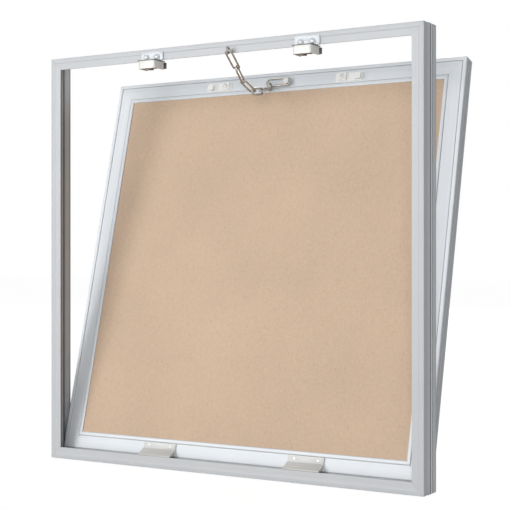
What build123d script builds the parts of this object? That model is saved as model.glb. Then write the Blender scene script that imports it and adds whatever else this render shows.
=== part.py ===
from build123d import *
import os

# Push-open access panel: a square frame, a plasterboard leaf that tilts out at the top, and a safety chain.
# X runs along the frame, Y from the cavity side to the room side, Z up. Sizes are in millimetres.
# Shapes are drawn with Y counted from the frame's cavity-side face and the leaf shut.
# save() moves them back by the frame's depth, which puts the origin in the middle of the room-side plane.

FRAME_SIZE = 400.0
FRAME_DEPTH = 28.5
FRAME_WALL = 2.0
FLANGE_WIDTH = 11.6
FLANGE_THICK = 2.0

LEAF_SIZE = 393.0
LEAF_BACK = 13.65
LEAF_DEPTH = 14.5
LEAF_BAND = LEAF_BACK + 0.4
LEAF_FLANGE = 1.5
LEAF_WALL = 1.6
BOARD_SIZE = 389.4
BOARD_THICK = 12.5
PAPER_THICK = 0.4

PIVOT_Y = 24.15
PIVOT_Z = -197.0
OPEN_DEGREES = 14.566
PIVOT_RADIUS = 1.5
HINGE_X = 79.4
HINGE_LENGTH = 36.5

LATCH_X = {"left": -77.0, "right": 89.1}
KEEPER_SPAN = {"left": (-5.0, 23.0), "right": (-25.3, 3.3)}
JAW_DEGREES = 20.0
JAW_PIN_X = 6.3
JAW_PIN_Y = 0.5
KEEPER_Z = 185.4
STUD_Z = 184.0

WIRE = 2.0
LINK_INNER_LENGTH = 23.0
LINK_INNER_WIDTH = 4.0
EYE_CENTRE = (10.7, -5.5, 190.0)
EYE_RADIUS = 2.9
EYE_WIRE = 1.8
RING_WIRE = 1.6
RING_INNER_RADIUS = 3.0
END_LINK_X = 2.1
END_LINK_Z = 184.5
END_LINK_STANDOFF = 4.0
END_SCREW_X = 11.25
# Centres of the turning points of the chain, from the eye to the oblong end link, with the leaf open.
CHAIN = [
    EYE_CENTRE,
    (7.7313, 16.3482, 176.5088),
    (3.4432, 34.5014, 167.5348),
    (0.8052, 58.4118, 160.7307),
    (-1.7008, 78.7465, 163.6788),
    (-6.4126, 102.4800, 169.9628),
    (-6.8001, 105.1806, 172.3107),
]

SIDES = {"top": 0, "right": 90, "bottom": 180, "left": 270}


def slab(x0, x1, y0, y1, z0, z1):
    """Rectangular block between the given limits."""
    centre = Pos((x0 + x1) / 2, (y0 + y1) / 2, (z0 + z1) / 2)
    return centre * Box(x1 - x0, y1 - y0, z1 - z0)


def bar(points, x0, x1):
    """Bar along X with a section given as (y, z) points."""
    return extrude(Plane.YZ.offset(x0) * Polygon(*points, align=None), x1 - x0, dir=(1, 0, 0))


def plate(points, z0, z1):
    """Flat plate with an outline given as (x, y) points."""
    return extrude(Plane.XY.offset(z0) * Polygon(*points, align=None), z1 - z0, dir=(0, 0, 1))


def pin_x(x0, x1, y, z, radius):
    """Round pin along X."""
    return extrude(Plane.YZ.offset(x0) * Pos(y, z) * Circle(radius), x1 - x0)


def pin_y(x, y0, y1, z, radius):
    """Round pin along Y."""
    return Pos(x, (y0 + y1) / 2, z) * Rot(90, 0, 0) * Cylinder(radius, y1 - y0)


def pin_z(x, y, z0, z1, radius):
    """Round pin along Z."""
    return Pos(x, y, (z0 + z1) / 2) * Cylinder(radius, z1 - z0)


def square_sheet(size, y0, y1):
    """Square sheet that stands upright, centred on the Y axis."""
    return slab(-size / 2, size / 2, y0, y1, -size / 2, size / 2)


def mitred_rail(profile, half):
    """Top rail of a square of the given half size; profile is (y, distance in from the edge)."""
    whole = bar([(y, half - inward) for y, inward in profile], -half, half)
    corner = Plane.XZ * Polygon((0, 0), (-half, half), (half, half), align=None)
    return whole & extrude(corner, 60, both=True)


def frame_rail(side):
    """Frame rail: cavity-side flange, grooved outer wall and an inner rib."""
    profile = [
        (0, 0.4), (0, 4.4), (0.5, 5.6), (0.5, FLANGE_WIDTH), (FLANGE_THICK, FLANGE_WIDTH),
        (FLANGE_THICK, FRAME_WALL), (9.3, FRAME_WALL), (9.3, 6.7), (11.0, 6.7), (11.0, FRAME_WALL),
        (FRAME_DEPTH, FRAME_WALL), (FRAME_DEPTH, 1.2), (27.0, 0), (19.5, 0), (19.5, 0.9), (17.6, 0.9),
        (17.6, 0), (14.9, 0), (14.9, 0.9), (13.1, 0.9), (13.1, 0), (10.4, 0), (8.6, 0.4),
    ]
    rail = Rot(0, SIDES[side], 0) * mitred_rail(profile, FRAME_SIZE / 2)
    if side == "top":
        rail -= pin_y(EYE_CENTRE[0], -1, 3, EYE_CENTRE[2], 1.05)
        for centre in LATCH_X.values():
            for offset in (-6, 6):
                rail -= pin_y(centre + offset, -1, 3, 191.5, 1.5)
    if side == "bottom":
        for x in rest_rivet_places():
            rail -= pin_z(x, 21.1, -201, -197, 1.0)
    return rail


def frame_seal():
    """Square gasket that sits on the inner rib and faces the leaf."""
    return square_sheet(FRAME_SIZE - 6, 11.0, 13.4) - square_sheet(FRAME_SIZE - 13.4, 10, 14)


def frame_corner_cleats():
    """Four angle pieces in the channel between flange and rib."""
    edge = FRAME_SIZE / 2 - FRAME_WALL
    long_leg = slab(edge - 30, edge, 2.4, 8.9, edge - 1.8, edge)
    angle = long_leg + slab(edge - 1.8, edge, 2.4, 8.9, edge - 30, edge)
    return Compound([Rot(0, turn, 0) * angle for turn in SIDES.values()])


def leaf_rail(side):
    """Leaf rail: back flange with a sunk band and a bead, and a thin outer wall with two fine grooves."""
    back = LEAF_BACK
    room = LEAF_BACK + LEAF_DEPTH
    inside = back + LEAF_FLANGE
    profile = [
        (back + 0.5, 0), (back, 0.5), (back, 3.5), (LEAF_BAND, 4.1), (LEAF_BAND, 16.4), (back, 17.0),
        (back, 19.6), (back + 0.5, 20.5), (inside, 20.5), (inside, LEAF_WALL), (room, LEAF_WALL), (room, 0),
        (back + 8.5, 0), (back + 8.5, 0.5), (back + 7.5, 0.5), (back + 7.5, 0),
        (back + 4.5, 0), (back + 4.5, 0.5), (back + 3.5, 0.5), (back + 3.5, 0),
    ]
    rail = Rot(0, SIDES[side], 0) * mitred_rail(profile, LEAF_SIZE / 2)
    if side == "top":
        rail -= pin_y(END_SCREW_X, back, 16, END_LINK_Z, 1.5)
        for name in LATCH_X:
            rail -= pin_y(keeper_block_x(name), back, 16, KEEPER_Z, 1.2)
    if side == "bottom":
        for x in (-HINGE_X, HINGE_X):
            reach = HINGE_LENGTH / 2 + 0.75
            rail -= pin_x(x - reach, x + reach, PIVOT_Y, PIVOT_Z, PIVOT_RADIUS + 0.1)
        for x in hook_rivet_places():
            rail -= pin_y(x, back, 16, -183.0, 1.5)
    return rail


def leaf_cleat_blocks(slack):
    """Four flat angle pieces at the corners of the board, larger all round by the given slack."""
    edge = BOARD_SIZE / 2 + 0.1
    width = 14 + slack
    length = 42 + slack
    top = LEAF_BACK + LEAF_FLANGE + 1.0 + slack
    flat = slab(edge - length, edge, LEAF_BACK + LEAF_FLANGE, top, edge - width, edge)
    flat += slab(edge - width, edge, LEAF_BACK + LEAF_FLANGE, top, edge - length, edge)
    return [Rot(0, turn, 0) * flat for turn in SIDES.values()]


def board_layer(start, thick):
    """One layer of the plasterboard, start counted from the inside of the leaf's back flange."""
    y0 = LEAF_BACK + LEAF_FLANGE + start
    layer = square_sheet(BOARD_SIZE, y0, y0 + thick)
    if start < 1.0:
        for block in leaf_cleat_blocks(0.1):
            layer -= block
    return layer


def hook_rivet_places():
    """X of the flush rivets in both hinge hooks."""
    return [side * HINGE_X + offset for side in (-1, 1) for offset in (-12, 12)]


def rest_rivet_places():
    """X of the flush rivets in both hinge rests."""
    return [side * HINGE_X + offset for side in (-1, 1) for offset in (-14, 14)]


def hinge_hook(x):
    """Hook extrusion on the leaf that reaches over the rib and down behind the frame's flange."""
    outline = [
        (-0.4, -180.2), (1.2, -180.2), (1.2, -186.2), (8.9, -193.0), (8.9, -197.3), (7.3, -197.3),
        (7.3, -192.6), (0, -192.6), (0, -192.3), (-0.4, -192.3),
    ]
    hollows = [
        [(1.4, -188.3), (3.0, -189.7), (3.0, -191.7), (1.4, -191.7)],
        [(3.8, -190.4), (5.4, -191.7), (3.8, -191.7)],
    ]
    x0 = x - HINGE_LENGTH / 2
    x1 = x + HINGE_LENGTH / 2
    hook = bar([(LEAF_BACK - a, z) for a, z in outline], x0, x1)
    for hollow in hollows:
        hook -= bar([(LEAF_BACK - a, z) for a, z in hollow], x0 - 1, x1 + 1)
    for place in hook_rivet_places():
        hook -= pin_y(place, 12, 15, -183.0, 1.5)
    return hook


def hinge_rest(x):
    """Strip on the frame's bottom wall with the round bead that the leaf turns on."""
    x0 = x - HINGE_LENGTH / 2
    x1 = x + HINGE_LENGTH / 2
    rest = slab(x0, x1, 19.65, 26.0, -198.0, -197.2) + pin_x(x0, x1, PIVOT_Y, PIVOT_Z, PIVOT_RADIUS)
    rest &= slab(x0, x1, 19, 27, -198.0, -190)
    for place in rest_rivet_places():
        rest -= pin_z(place, 21.1, -199, -196, 1.0)
    return rest


def latch_pad(x):
    """Flat packing plate between the latch ears and the frame's flange."""
    outline = Plane.XZ * Pos(x + 0.5, 192.9) * RectangleRounded(25, 9.0, 1.6)
    pad = extrude(outline, 0.7)
    for offset in (-6, 6):
        pad -= pin_y(x + offset, -2, 1, 191.5, 1.5)
    return pad


def latch_bracket(x):
    """Latch top plate that passes under the flange, with two upturned ears."""
    bracket = slab(x - 10, x + 10, -9.5, 7.5, 187.4, 188.2)
    for offset in (-6, 6):
        bracket += slab(x + offset - 3, x + offset + 3, -1.5, -0.7, 187.4, 191.5)
        bracket += pin_y(x + offset, -1.5, -0.7, 191.5, 3.0)
        bracket -= pin_y(x + offset, -2, 0, 191.5, 1.5)
        bracket -= pin_z(x + offset * JAW_PIN_X / 6, JAW_PIN_Y, 187, 189, 1.0)
    return bracket


def latch_rivets(x):
    """Two round-headed rivets through ear, packing plate and flange."""
    rivets = []
    for offset in (-6, 6):
        rivet = pin_y(x + offset, -1.5, FLANGE_THICK, 191.5, 1.5)
        rivet += pin_y(x + offset, FLANGE_THICK, FLANGE_THICK + 0.7, 191.5, 2.3)
        dome = Pos(x + offset, 0.8, 191.5) * Sphere(3.4)
        rivet += dome & slab(x + offset - 4, x + offset + 4, -4, -1.5, 187, 196)
        rivets.append(rivet)
    return Compound(rivets)


def latch_housing(x):
    """Folded sheet round the latch, open below and toward the leaf."""
    outer = Pos(x, 10.5, 179.9) * extrude(RectangleRounded(19, 40, 2.5), 7.5)
    inner = Pos(x, 11.3, 179.9) * extrude(RectangleRounded(17.4, 40, 1.7), 7.5)
    return (outer - inner) & slab(x - 10, x + 10, -10, 5.5, 179, 188)


def latch_carriage(x):
    """Sliding block that the keeper pushes back; its bore takes the spring."""
    block = slab(x - 3.4, x + 3.4, -5.5, 5.8, 181.5, 187.0)
    block = chamfer(block.edges().filter_by(Axis.Z), 0.5)
    return block - pin_y(x, -6, 1.9, 184.25, 1.7)


def latch_spring(x):
    """Pressure spring between the housing's front wall and the bottom of the carriage's bore."""
    path = Helix(pitch=1.9, height=9.9, radius=1.1)
    coil = sweep(Plane(origin=path @ 0, z_dir=path % 0) * Circle(0.2), path, is_frenet=True)
    return Pos(x, -8.4, 184.25) * Rot(-90, 0, 0) * coil


def latch_jaw(x, side):
    """Claw on a vertical pin, drawn open; side is -1 or 1."""
    outline = [
        (4.6, 0.5), (3.7, 6.0), (3.7, 9.5), (1.9, 9.5), (1.9, 10.1), (2.3, 10.35), (7.2, 10.35), (7.2, 9.0),
        (6.6, 6.0), (7.9, 0.5),
    ]
    jaw = plate(outline, 181.3, 187.0) + pin_z(JAW_PIN_X, JAW_PIN_Y, 181.3, 187.0, 1.75)
    jaw -= pin_z(JAW_PIN_X, JAW_PIN_Y, 181, 188, 1.06)
    jaw = jaw.rotate(Axis((JAW_PIN_X, JAW_PIN_Y, 0), (0, 0, 1)), -JAW_DEGREES)
    if side < 0:
        jaw = mirror(jaw, Plane.YZ)
    return Pos(x, 0, 0) * jaw


def latch_jaw_pins(x):
    """Two pins set in the latch's top plate."""
    return Compound([pin_z(x + side * JAW_PIN_X, JAW_PIN_Y, 180.6, 188.2, 1.0) for side in (-1, 1)])


def keeper_block_x(name):
    """X of the keeper's screw block."""
    inward = 17.0 if name == "left" else -17.0
    return LATCH_X[name] + inward


def keeper(name):
    """Moulded keeper: a base on the leaf's top rail, a T-headed stud and a block for its screw."""
    x = LATCH_X[name]
    x0 = x + KEEPER_SPAN[name][0]
    x1 = x + KEEPER_SPAN[name][1]
    front = LEAF_BAND - 1.2
    face = Plane.XZ.offset(-LEAF_BAND) * Pos((x0 + x1) / 2, KEEPER_Z) * RectangleRounded(x1 - x0, 8.8, 1.5)
    body = extrude(face, 1.2)
    body += slab(x - 1.4, x + 1.4, 9.0, front, STUD_Z - 2.6, STUD_Z + 2.6)
    head = slab(x - 3.2, x + 3.2, 7.8, 9.3, STUD_Z - 2.6, STUD_Z + 2.6)
    body += chamfer(head.faces().sort_by(Axis.Y)[0].edges(), 0.5)
    block_x = keeper_block_x(name)
    block = slab(block_x - 4.2, block_x + 4.2, front - 3.0, front, KEEPER_Z - 3.8, KEEPER_Z + 3.8)
    body += fillet(block.edges().filter_by(Axis.Y), 1.0)
    return body - pin_y(block_x, 5, 16, KEEPER_Z, 1.2)


def keeper_screws():
    """One pan-head screw in each keeper."""
    screws = []
    for name in LATCH_X:
        x = keeper_block_x(name)
        seat = LEAF_BAND - 4.2
        screw = pin_y(x, seat - 1.3, seat, KEEPER_Z, 2.4)
        screw = chamfer(screw.faces().sort_by(Axis.Y)[0].edges(), 0.4)
        screw += pin_y(x, seat, LEAF_BACK + LEAF_FLANGE, KEEPER_Z, 1.2)
        screw -= slab(x - 0.35, x + 0.35, seat - 2, seat - 0.7, KEEPER_Z - 1.5, KEEPER_Z + 1.5)
        screw -= slab(x - 1.5, x + 1.5, seat - 2, seat - 0.7, KEEPER_Z - 0.35, KEEPER_Z + 0.35)
        screws.append(screw)
    return Compound(screws)


def oval_ring(inner_length, inner_width, wire):
    """Closed oval of round wire in the XY plane, long way along X."""
    path = SlotOverall(inner_length + wire, inner_width + wire).face().outer_wire()
    section = Plane(origin=path @ 0, z_dir=path % 0) * Circle(wire / 2)
    return sweep(section, path)


def chain_link(number):
    """One long link between two turning points; odd links lie flat and even links stand on edge."""
    start = Vector(*CHAIN[number - 1])
    end = Vector(*CHAIN[number])
    along = (end - start).normalized()
    if number == 1:
        start += along * (EYE_RADIUS - EYE_WIRE / 2 - WIRE / 2 - 0.15)
    across = Vector(along.Y, -along.X, 0).normalized()
    if number % 2:
        normal = along.cross(across)
    else:
        normal = across
    place = Plane(origin=(start + end) * 0.5, x_dir=along, z_dir=normal)
    return place * oval_ring(LINK_INNER_LENGTH, LINK_INNER_WIDTH, WIRE)


def joining_ring():
    """Small round ring between the last long link and the oblong end link."""
    start = Vector(*CHAIN[5])
    along = (Vector(*CHAIN[6]) - start).normalized()
    across = Vector(along.Y, -along.X, 0).normalized()
    centre = start + along * (RING_INNER_RADIUS - WIRE / 2 - 0.15)
    return Plane(origin=centre, x_dir=along, z_dir=across) * Torus(RING_INNER_RADIUS + RING_WIRE / 2, RING_WIRE / 2)


def chain_eye():
    """Screw eye in the frame's top flange."""
    x, y, z = EYE_CENTRE
    ring = Pos(x, y, z) * Rot(0, 90, 0) * Torus(EYE_RADIUS, EYE_WIRE / 2)
    return ring + pin_y(x, y + EYE_RADIUS, 3.6, z, 1.0)


def chain_end_link():
    """Oblong wire link that lies parallel to the leaf's top rail."""
    ring = oval_ring(23.6, 5.3, 2.2)
    return Pos(END_LINK_X, LEAF_BACK - END_LINK_STANDOFF, END_LINK_Z) * Rot(90, 0, 0) * ring


def chain_end_screw():
    """Shouldered screw through one end of the oblong link."""
    front = LEAF_BACK - END_LINK_STANDOFF - 1.3
    screw = pin_y(END_SCREW_X, front, LEAF_BAND, END_LINK_Z, 2.3)
    screw += pin_y(END_SCREW_X, LEAF_BAND, LEAF_BACK + LEAF_FLANGE, END_LINK_Z, 1.5)
    head = pin_y(END_SCREW_X, front - 1.5, front, END_LINK_Z, 3.4)
    screw += chamfer(head.faces().sort_by(Axis.Y)[0].edges(), 0.6)
    return screw - pin_y(END_SCREW_X, front - 2, front - 0.5, END_LINK_Z, 1.3)


def opened(shape):
    """The shut leaf's shape, turned about the hinge to the open rest position."""
    return shape.rotate(Axis((0, PIVOT_Y, PIVOT_Z), (1, 0, 0)), -OPEN_DEGREES)


def save(shape, node):
    """Write one node."""
    export_step(Pos(0, -FRAME_DEPTH, 0) * shape, f"parts/{node}.step")


def main():
    """Build and write every node."""
    os.makedirs("parts", exist_ok=True)
    for side in SIDES:
        save(frame_rail(side), f"frame_rail_{side}")
        save(opened(leaf_rail(side)), f"leaf_rail_{side}")
    save(frame_seal(), "frame_seal")
    save(frame_corner_cleats(), "frame_corner_cleats")
    save(opened(Compound(leaf_cleat_blocks(0))), "leaf_corner_cleats")
    core = BOARD_THICK - 2 * PAPER_THICK
    save(opened(board_layer(0, PAPER_THICK)), "board_back_paper")
    save(opened(board_layer(PAPER_THICK, core)), "gypsum_core")
    save(opened(board_layer(PAPER_THICK + core, PAPER_THICK)), "board_face_paper")
    for side, x in (("left", -HINGE_X), ("right", HINGE_X)):
        save(opened(hinge_hook(x)), f"hinge_hook_{side}")
        save(hinge_rest(x), f"hinge_rest_{side}")
    hook_rivets = [pin_y(x, 12.45, LEAF_BACK + LEAF_FLANGE, -183.0, 1.5) for x in hook_rivet_places()]
    save(opened(Compound(hook_rivets)), "hinge_hook_rivets")
    save(Compound([pin_z(x, 21.1, -200, -197.2, 1.0) for x in rest_rivet_places()]), "hinge_rest_rivets")
    for name, x in LATCH_X.items():
        save(latch_pad(x), f"latch_pad_{name}")
        save(latch_bracket(x), f"latch_bracket_{name}")
        save(latch_rivets(x), f"latch_rivets_{name}")
        save(latch_housing(x), f"latch_housing_{name}")
        save(latch_carriage(x), f"latch_carriage_{name}")
        save(latch_spring(x), f"latch_spring_{name}")
        save(latch_jaw(x, -1), f"latch_{name}_jaw_a")
        save(latch_jaw(x, 1), f"latch_{name}_jaw_b")
        save(latch_jaw_pins(x), f"latch_jaw_pins_{name}")
        save(opened(keeper(name)), f"keeper_{name}")
    save(opened(keeper_screws()), "keeper_screws")
    save(chain_eye(), "chain_eye")
    for number in range(1, 6):
        save(chain_link(number), f"chain_link_{number}")
    save(joining_ring(), "chain_joining_ring")
    save(opened(chain_end_link()), "chain_end_link")
    save(opened(chain_end_screw()), "chain_end_screw")


main()
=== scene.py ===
"""Looks of a push-open access panel: aluminium frame, plasterboard leaf, two latches and a safety chain."""

import math

import bmesh
import bpy
import numpy as np
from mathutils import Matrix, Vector


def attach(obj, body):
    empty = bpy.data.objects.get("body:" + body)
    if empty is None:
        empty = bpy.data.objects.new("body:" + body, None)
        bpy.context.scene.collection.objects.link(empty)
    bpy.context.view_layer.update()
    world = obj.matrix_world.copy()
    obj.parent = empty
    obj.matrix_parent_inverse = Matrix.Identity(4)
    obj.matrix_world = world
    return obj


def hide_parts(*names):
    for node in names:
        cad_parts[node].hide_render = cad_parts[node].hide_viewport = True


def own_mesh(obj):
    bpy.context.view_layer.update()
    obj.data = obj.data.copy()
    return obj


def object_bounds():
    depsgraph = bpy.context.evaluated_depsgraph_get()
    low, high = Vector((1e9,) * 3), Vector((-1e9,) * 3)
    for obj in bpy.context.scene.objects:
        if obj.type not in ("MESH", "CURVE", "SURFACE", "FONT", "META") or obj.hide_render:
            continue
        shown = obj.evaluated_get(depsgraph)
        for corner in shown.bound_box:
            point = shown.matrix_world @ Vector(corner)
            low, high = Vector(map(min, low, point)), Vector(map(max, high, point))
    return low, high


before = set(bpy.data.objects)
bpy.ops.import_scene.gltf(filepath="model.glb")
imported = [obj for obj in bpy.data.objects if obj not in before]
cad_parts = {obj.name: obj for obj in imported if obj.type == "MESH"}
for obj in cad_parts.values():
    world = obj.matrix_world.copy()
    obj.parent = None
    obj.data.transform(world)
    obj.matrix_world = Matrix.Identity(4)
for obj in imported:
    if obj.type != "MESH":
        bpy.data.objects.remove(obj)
cad_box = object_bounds()

bl_info = {
    "name": "Push-open access panel",
    "version": (1, 0, 0),
    "blender": (4, 5, 0),
    "location": "View3D > Sidebar > Access panel",
    "description": "Makes the rails, gasket, hinges, latches, keepers and chain of the panel"
                   " and finishes its board",
    "category": "Object",
}

# Shapes are drawn in millimetres with the leaf shut and y counted from the frame's cavity side.
FRAME_DEPTH = 28.5
FRAME_HALF = 200.0
SEAL_BACK = 11.0
SEAL_INNER = 6.7
LEAF_HALF = 196.5
LEAF_BAND = 14.05
PIVOT_Y = 24.15
PIVOT_Z = -197.0
OPEN_ANGLE = math.radians(14.566)
SIDES = {"top": 0.0, "right": 90.0, "bottom": 180.0, "left": 270.0}

HINGE_RIVET_X = (-91.4, -67.4, 67.4, 91.4)
HINGE_RIVET_Z = -183.0

# The left latch stands nearer the middle than the right one.
LATCH_X = {"left": -77.0, "right": 89.1}
LATCH_RIVET_OFFSET = 6.0
LATCH_RIVET_Z = 191.5
# The housing's U is measured to the middle of its sheet.
HOUSING_HALF = 9.1
HOUSING_OPEN_Y = 5.5
HOUSING_BEND = 2.1
HOUSING_Z = (179.9, 187.4)
SHEET_HALF = 0.4
FLANGE_EDGE = 188.3
JAW_PIN_X = 6.3
JAW_PIN_Y = 0.5
JAW_PIN_RADIUS = 1.0
JAW_PIN_Z = (180.6, 188.2)
SPRING_START_Y = -8.35
SPRING_RISE = 9.95
SPRING_RADIUS = 1.1
SPRING_Z = 184.25

# Both ends of a keeper and its screw, counted in x from its latch.
KEEPER_ENDS = {"left": (-5.0, 23.0), "right": (-25.3, 3.3)}
KEEPER_SCREW = {"left": 17.0, "right": -17.0}
KEEPER_Z = 185.4

# Lengths and widths of ovals, and radii of rings, are those of the wire's centre line.
LINK_OVAL = (25.0, 6.0)
LINK_SEAT = 0.85
WELD_SPREAD = 0.8
RING_RADIUS = 3.8
RING_MIDDLE = 1.85
EYE_RADIUS = 2.9
EYE_WIRE = 1.8
SHANK_RADIUS = 0.93
THREAD_DEPTH = 0.07
THREAD_PITCH = 0.7
END_OVAL = (25.8, 7.5)
END_OVAL_CENTRE = (2.1, 9.65, 184.5)
END_SCREW = (11.25, 184.5)
# Turning points of the chain with the leaf open, from the screw eye to the oblong end link.
CHAIN = np.array([
    [10.7, -5.5, 190.0],
    [7.7313, 16.3482, 176.5088],
    [3.4432, 34.5014, 167.5348],
    [0.8052, 58.4118, 160.7307],
    [-1.7008, 78.7465, 163.6788],
    [-6.4126, 102.4800, 169.9628],
    [-6.8001, 105.1806, 172.3107],
])
ALONG_X, ALONG_Y, UP = np.eye(3)


def linear(colour):
    """sRGB hex to linear RGB: c / 12.92 below 0.04045, else ((c + 0.055) / 1.055) to the power 2.4."""
    levels = np.array([int(colour[i:i + 2], 16) for i in (1, 3, 5)]) / 255
    return tuple(np.where(levels <= 0.04045, levels / 12.92, ((levels + 0.055) / 1.055) ** 2.4))


def rounded(corners, steps=3):
    """Closed outline with eased corners, from rows of (a, b, easing).

    Corner C becomes (1-t)^2 A + 2t(1-t) C + t^2 B, where A and B lie the easing distance before and after C,
    and at most 0.45 of the side.
    """
    corners = np.asarray(corners, float)
    centre = corners[:, None, :2]
    before = np.roll(centre, 1, axis=0) - centre
    after = np.roll(centre, -1, axis=0) - centre
    length_before = np.linalg.norm(before, axis=2, keepdims=True)
    length_after = np.linalg.norm(after, axis=2, keepdims=True)
    cut = np.minimum(corners[:, 2][:, None, None], 0.45 * np.minimum(length_before, length_after))
    start = centre + before / length_before * cut
    end = centre + after / length_after * cut
    t = np.linspace(0, 1, steps + 1)[None, :, None]
    return ((1 - t) ** 2 * start + 2 * t * (1 - t) * centre + t ** 2 * end).reshape(-1, 2)


def inset(outline, distance):
    """Outline moved inward.

    Each point goes along the mean of its two sides' normals, divided by the cosine between them.
    """
    side = np.roll(outline, -1, axis=0) - outline
    side /= np.linalg.norm(side, axis=1, keepdims=True)
    normal = np.stack([-side[:, 1], side[:, 0]], axis=1)
    ahead = np.roll(outline, -1, axis=0)
    area = np.sum(outline[:, 0] * ahead[:, 1] - ahead[:, 0] * outline[:, 1])
    mean = normal + np.roll(normal, 1, axis=0)
    mean /= np.linalg.norm(mean, axis=1, keepdims=True)
    spread = np.maximum(np.sum(mean * normal, axis=1, keepdims=True), 0.4)
    return outline + mean / spread * distance * np.sign(area)


def skin(rings, looped=False):
    """Closed surface over a grid P(i, j): j runs round a section, and i from section to section.

    Neighbouring points make four-sided faces. The end sections are filled, or joined when the run is a loop.
    """
    rings = np.asarray(rings, float)
    rows, columns = rings.shape[:2]
    index = np.arange(rows * columns).reshape(rows, columns)
    here = index if looped else index[:-1]
    ahead = np.roll(index, -1, axis=0) if looped else index[1:]
    quads = np.stack([here, np.roll(here, -1, axis=1), np.roll(ahead, -1, axis=1), ahead], axis=-1)
    ends = [] if looped else [index[0][::-1], index[-1]]
    return rings.reshape(-1, 3), quads.reshape(-1, 4), ends


def prism(outline, low, high, edge, axis):
    """Flat plate: the outline (a, b) carried from low to high along axis, eased by the edge at both ends."""
    reach = ((low, edge), (low + edge, 0.0), (high - edge, 0.0), (high, edge))
    rings = []
    for height, drawn_in in reach:
        flat = inset(outline, drawn_in) if drawn_in else outline
        across = np.full(len(flat), height)
        order = {"x": (across, flat[:, 0], flat[:, 1]), "y": (flat[:, 0], across, flat[:, 1]),
                 "z": (flat[:, 0], flat[:, 1], across)}[axis]
        rings.append(np.stack(order, axis=1))
    return skin(rings)


def box_outline(a0, a1, b0, b1, easing):
    """Rectangle with eased corners."""
    return rounded([(a0, b0, easing), (a1, b0, easing), (a1, b1, easing), (a0, b1, easing)])


def circle_outline(a, b, radius, sides=32):
    """Round outline: (a + r cos q, b + r sin q)."""
    q = np.linspace(0, 2 * math.pi, sides, endpoint=False)
    return np.stack([a + radius * np.cos(q), b + radius * np.sin(q)], axis=1)


def turned_part(profile, centre, sides=36, lobe=None):
    """Turned part along y: radius r(h) from rows of (radius, y), at angle q the point (r cos q, y, r sin q).

    lobe(q, row) scales the radius where a drive recess isn't round.
    """
    profile = np.asarray(profile, float)
    q = np.linspace(0, 2 * math.pi, sides, endpoint=False)[None, :]
    radius = profile[:, 0][:, None] * np.ones_like(q)
    if lobe:
        radius = radius * lobe(q, np.arange(len(profile))[:, None])
    height = profile[:, 1][:, None] * np.ones_like(q)
    rings = np.stack([centre[0] + radius * np.cos(q), height, centre[1] + radius * np.sin(q)], axis=-1)
    return skin(rings)


def wire(path, radius, up, looped=True, sides=20):
    """Round wire: P + r (cos q U + sin q V) at each path point P with direction T.

    U is the part of up that lies across T, and V = T x U.
    """
    if looped:
        ahead = np.roll(path, -1, axis=0) - np.roll(path, 1, axis=0)
    else:
        ahead = np.gradient(path, axis=0)
    ahead /= np.linalg.norm(ahead, axis=1, keepdims=True)
    first = up - np.sum(ahead * up, axis=1, keepdims=True) * ahead
    first /= np.linalg.norm(first, axis=1, keepdims=True)
    second = np.cross(ahead, first)
    q = np.linspace(0, 2 * math.pi, sides, endpoint=False)
    radius = (np.ones(len(path)) * radius)[:, None, None]
    around = np.cos(q)[None, :, None] * first[:, None, :] + np.sin(q)[None, :, None] * second[:, None, :]
    return skin(path[:, None, :] + radius * around, looped)


def oval(length, width, turns, run=15):
    """Centre line of an oval in its own plane: half circles of the width, joined by straight runs."""
    radius = width / 2
    reach = length / 2 - radius
    q = np.linspace(-math.pi / 2, math.pi / 2, turns)
    right = np.stack([reach + radius * np.cos(q), radius * np.sin(q)], axis=1)
    straight = np.linspace(reach, -reach, run + 2)[1:-1]
    upper = np.stack([straight, np.full(run, radius)], axis=1)
    return np.concatenate([right, upper, -right, -upper])


def turned(points, degrees):
    """Turn about the y axis: x' = x cos a + z sin a, z' = z cos a - x sin a."""
    a = math.radians(degrees)
    x, y, z = points.T
    return np.stack([x * math.cos(a) + z * math.sin(a), y, z * math.cos(a) - x * math.sin(a)], axis=1)


def tilted(points):
    """Leaf opened about the hinge line: dy' = dy cos a + dz sin a, dz' = dz cos a - dy sin a."""
    dy = points[:, 1] - PIVOT_Y
    dz = points[:, 2] - PIVOT_Z
    c, s = math.cos(OPEN_ANGLE), math.sin(OPEN_ANGLE)
    return np.stack([points[:, 0], PIVOT_Y + dy * c + dz * s, PIVOT_Z + dz * c - dy * s], axis=1)


def mitred_rail(profile, half):
    """Rail along the top of a square: profile point (y, d) runs at z = half - d between x = -z and x = z.

    The profile is drawn in a little at both mitres, so the joint shows as a fine line.
    """
    # Sections from mitre to mitre: end of the rail, distance back from its mitre, and how far drawn in.
    sections = ((-1, 0.02, 0.14), (-1, 0.16, 0.0), (1, 0.16, 0.0), (1, 0.02, 0.14))
    rings = []
    for sign, back, drawn_in in sections:
        flat = inset(profile, drawn_in) if drawn_in else profile
        y, d = flat.T
        rings.append(np.stack([sign * (half - d - back), y, half - d], axis=1))
    return skin(rings)


def volume(points, quads, ends):
    """Signed volume: a sixth of the sum of p0 . (p1 x p2) over triangles."""
    fans = [np.stack([np.full(len(end) - 2, end[0]), end[1:-1], end[2:]], axis=1) for end in ends]
    triangles = np.concatenate([quads[:, [0, 1, 2]], quads[:, [0, 2, 3]]] + fans)
    p0, p1, p2 = points[triangles[:, 0]], points[triangles[:, 1]], points[triangles[:, 2]]
    return np.sum(p0 * np.cross(p1, p2)) / 6


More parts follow.
